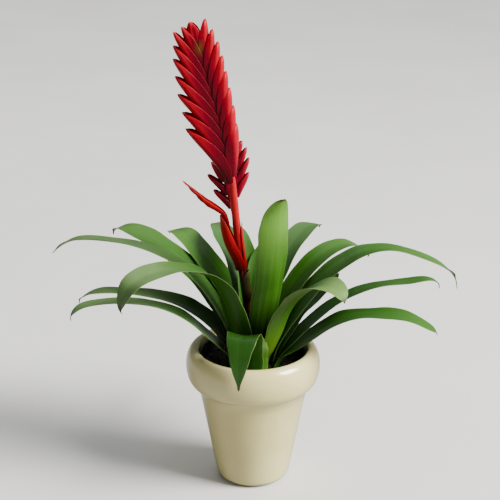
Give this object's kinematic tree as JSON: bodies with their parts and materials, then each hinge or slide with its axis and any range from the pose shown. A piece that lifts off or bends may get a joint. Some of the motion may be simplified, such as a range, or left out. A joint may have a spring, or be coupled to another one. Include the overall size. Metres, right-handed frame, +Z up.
{
  "type": "potted bromeliad",
  "caption": "Strap-leaved bromeliad with a folded red flower spike, in a round glazed pot with a thick rolled rim.",
  "frame": {"origin": "centre of the pot's flat base, on the surface it stands on", "axes": "+Z up along the pot's axis, -Y the front, from which the flower spike is seen flat with its tip leaning to -X"},
  "size_m": [0.3605, 0.218, 0.4063],
  "materials": {
    "glaze": "glossy cream glaze",
    "plastic": "black moulded plastic",
    "soil": "dark damp potting soil",
    "stem": "smooth red plant stem, satin",
    "bract": "waxy red bract, satin",
    "leaf": "waxy green leaf, satin"
  },
  "bodies": {
    "root": {"pot": "glaze", "nursery_pot": "plastic", "potting_soil": "soil", "flower_stem": "stem", "spike_bract_01": "bract", "spike_bract_02": "bract", "spike_bract_03": "bract", "spike_bract_04": "bract", "spike_bract_05": "bract", "spike_bract_06": "bract", "spike_bract_07": "bract", "spike_bract_08": "bract", "spike_bract_09": "bract", "spike_bract_10": "bract", "spike_bract_11": "bract", "spike_bract_12": "bract", "spike_bract_13": "bract", "spike_bract_14": "bract", "spike_bract_15": "bract", "spike_bract_16": "bract", "spike_bract_17": "bract", "right_branch_bract_1": "bract", "right_branch_bract_2": "bract", "right_branch_bract_3": "bract", "right_branch_bract_4": "bract", "right_branch_bract_5": "bract", "right_branch_bract_6": "bract", "right_branch_bract_7": "bract", "left_branch_bract_1": "bract", "left_branch_bract_2": "bract", "left_branch_bract_3": "bract", "left_branch_bract_4": "bract", "left_branch_bract_5": "bract", "stem_bract_base": "bract", "stem_bract_hooded": "bract", "stem_bract_long": "bract", "stem_bract_right": "bract", "leaf_front_upright": "leaf", "leaf_back_young_right": "leaf", "leaf_back_young": "leaf", "leaf_back_torn": "leaf", "leaf_back_right": "leaf", "leaf_back_left": "leaf", "leaf_front_left": "leaf", "leaf_front_right": "leaf", "leaf_left_longest": "leaf", "leaf_left_high": "leaf", "leaf_right_arched": "leaf", "leaf_right_longest": "leaf", "leaf_left_middle": "leaf", "leaf_right_short": "leaf", "leaf_right_middle": "leaf", "leaf_left_low": "leaf", "leaf_right_low": "leaf", "leaf_back_low": "leaf", "leaf_back_right_low": "leaf", "leaf_front_short": "leaf", "leaf_front_drooping": "leaf"}
  },
  "joints": []
}
